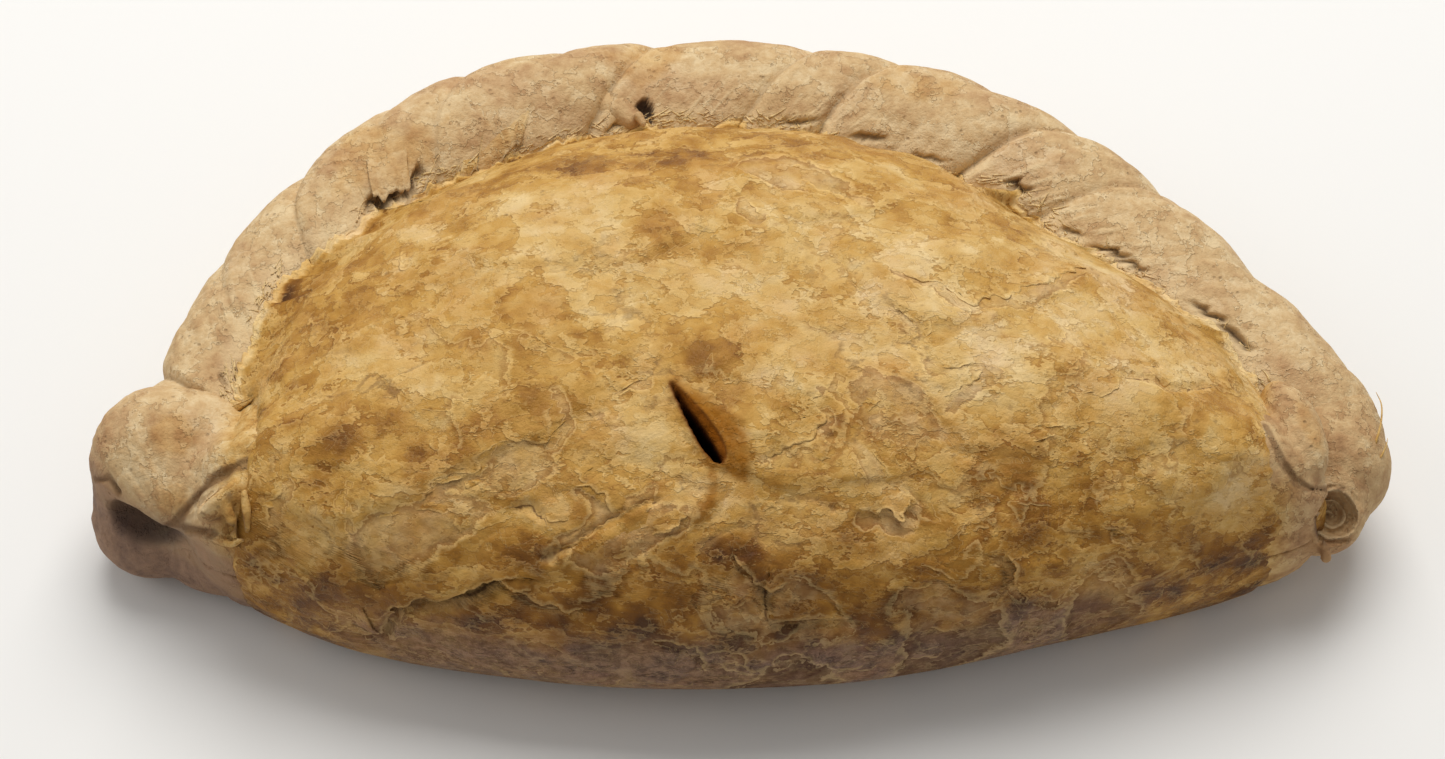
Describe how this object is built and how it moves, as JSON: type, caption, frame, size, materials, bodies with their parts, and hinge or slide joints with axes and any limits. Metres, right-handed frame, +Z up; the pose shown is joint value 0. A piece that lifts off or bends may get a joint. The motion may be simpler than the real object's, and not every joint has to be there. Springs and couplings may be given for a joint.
{
  "type": "cornish pasty",
  "caption": "Baked pasty with a flat base, a domed, flaky, glazed shortcrust body with a steam slit, and a rope crimp along its curved side.",
  "frame": {"origin": "centre of the bounding box in plan, at the height of the flat underside", "axes": "+X along the pasty's length, to the right in the picture; +Y from the rounded belly to the crimp; +Z up from the tray"},
  "size_m": [0.208, 0.12, 0.0479],
  "materials": {
    "crust": "golden shortcrust pastry with a satin egg glaze on the body, matt and paler on the rope crimp, browner underneath"
  },
  "bodies": {
    "root": {"pasty": "crust"}
  },
  "joints": []
}
